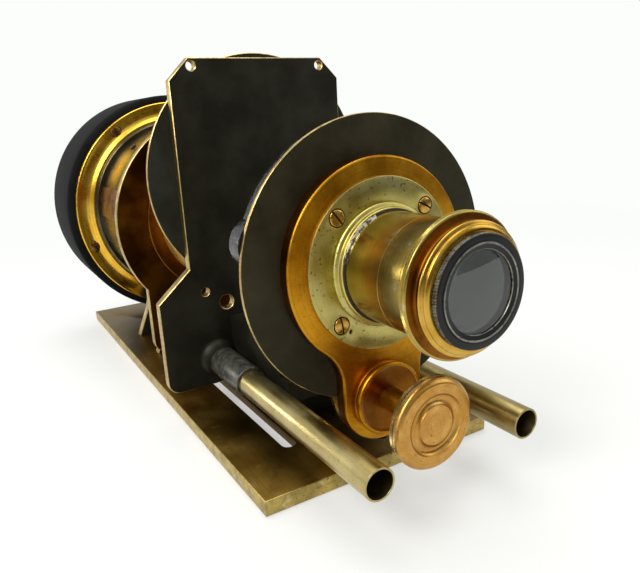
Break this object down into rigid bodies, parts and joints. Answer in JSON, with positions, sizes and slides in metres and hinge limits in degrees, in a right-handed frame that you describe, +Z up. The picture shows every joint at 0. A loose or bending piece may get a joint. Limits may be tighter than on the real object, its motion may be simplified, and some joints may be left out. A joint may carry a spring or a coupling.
{
  "type": "projection microscope",
  "caption": "Brass projection microscope: a focusing head with knob, a stage plate with a revolving aperture disc, support rods and a sliding condenser on a slotted base.",
  "frame": {"origin": "on the table under the middle of the stage plate's front face, in the plane of symmetry", "axes": "+X to the right seen from the front, +Y from the focusing head to the lantern end, +Z up"},
  "size_m": [0.1516, 0.3587, 0.1789],
  "materials": {
    "base_brass": "dark aged lacquer, worn bright at the edges",
    "blackened_brass": "blackened, worn to brass at the edges",
    "black_lacquer": "black lacquer, satin",
    "orange_lacquer": "orange lacquer, speckled with wear",
    "golden_lacquer": "golden lacquer, glossy",
    "raw_brass": "bare turned brass with dark specks",
    "olive_brass": "bare aged brass, fine turned lines",
    "rod_brass": "bare drawn tube, brushed",
    "copper_lacquer": "copper-coloured lacquer with dark specks",
    "screw_metal": "turned screws, dulled",
    "ring_metal": "greyed bare metal, satin",
    "lens_glass": "clear, polished"
  },
  "bodies": {
    "bench": {"base_plate": "base_brass", "base_screws": "screw_metal", "guide_block": "blackened_brass", "guide_cap": "blackened_brass", "guide_cap_screws": "screw_metal", "focus_nut": "olive_brass", "stage_plate": "blackened_brass", "stage_screws": "screw_metal", "sleeve_left": "blackened_brass", "sleeve_right": "blackened_brass", "disc_pivot": "screw_metal"},
    "head": {"front_disc": "blackened_brass", "disc_backing": "black_lacquer", "pear_plate": "orange_lacquer", "focus_bar": "golden_lacquer", "knob_boss": "orange_lacquer", "lobe_screw": "black_lacquer", "mount_flange": "raw_brass", "flange_screws": "copper_lacquer", "barrel_collar": "raw_brass", "barrel": "olive_brass", "objective": "olive_brass", "objective_lens": "lens_glass"},
    "lens_mount": {"lens_mount": "golden_lacquer"},
    "lens_cell": {"lens_cell": "black_lacquer", "cell_ring": "ring_metal", "front_lens": "lens_glass"},
    "knob": {"focus_knob": "copper_lacquer"},
    "wheel": {"revolving_disc": "blackened_brass", "disc_hub": "olive_brass"},
    "rod_left": {"rod_left": "rod_brass"},
    "rod_right": {"rod_right": "rod_brass"},
    "carriage": {"condenser_plate": "orange_lacquer", "field_flange": "orange_lacquer", "rear_barrel": "olive_brass", "barrel_tab": "copper_lacquer", "barrel_set_screw": "copper_lacquer", "rear_flange": "golden_lacquer", "rear_flange_screws": "copper_lacquer", "rear_drum": "black_lacquer", "condenser_lens": "lens_glass", "lens_stop_front": "blackened_brass", "lens_stop_back": "blackened_brass", "front_leg": "blackened_brass", "rear_leg": "blackened_brass", "saddle_bar": "olive_brass", "clamp_stud_left": "screw_metal", "clamp_stud_right": "screw_metal"},
    "field": {"field_tube": "golden_lacquer", "field_lens": "lens_glass", "field_stop": "blackened_brass"},
    "nut_left": {"clamp_nut_left": "golden_lacquer"},
    "nut_right": {"clamp_nut_right": "golden_lacquer"}
  },
  "joints": [
    {"name": "head_slide", "type": "slide", "parent": "bench", "child": "head", "axis": [0, 1, 0], "range_m": [-0.01, 0.01]},
    {"name": "knob_turn", "type": "hinge", "parent": "head", "child": "knob", "pos_m": [0, -0.1242, 0.0345], "axis": [0, 1, 0], "range_deg": [-900, 900]},
    {"name": "mount_turn", "type": "hinge", "parent": "head", "child": "lens_mount", "pos_m": [0, -0.14, 0.0907], "axis": [0, -1, 0], "range_deg": [0, 360]},
    {"name": "cell_turn", "type": "hinge", "parent": "lens_mount", "child": "lens_cell", "pos_m": [0, -0.1485, 0.0907], "axis": [0, -1, 0], "range_deg": [0, 360]},
    {"name": "wheel_turn", "type": "hinge", "parent": "bench", "child": "wheel", "pos_m": [0, 0.0063, 0.1199], "axis": [0, 1, 0], "continuous": true},
    {"name": "rod_left_slide", "type": "slide", "parent": "bench", "child": "rod_left", "axis": [0, 1, 0], "range_m": [-0.02, 0.035]},
    {"name": "rod_right_slide", "type": "slide", "parent": "bench", "child": "rod_right", "axis": [0, 1, 0], "range_m": [-0.02, 0.035]},
    {"name": "carriage_slide", "type": "slide", "parent": "bench", "child": "carriage", "axis": [0, 1, 0], "range_m": [-0.01, 0.03]},
    {"name": "field_slide", "type": "slide", "parent": "carriage", "child": "field", "axis": [0, 1, 0], "range_m": [-0.01, 0.01]},
    {"name": "nut_left_turn", "type": "hinge", "parent": "carriage", "child": "nut_left", "pos_m": [-0.0297, 0.108, 0.0118], "axis": [0, 0, 1], "range_deg": [0, 360]},
    {"name": "nut_right_turn", "type": "hinge", "parent": "carriage", "child": "nut_right", "pos_m": [0.0297, 0.108, 0.0118], "axis": [0, 0, 1], "range_deg": [0, 360]}
  ],
  "couplings": [
    {"joint": "knob_turn", "follows": "head_slide", "rad_per_m": 1570.8}
  ]
}
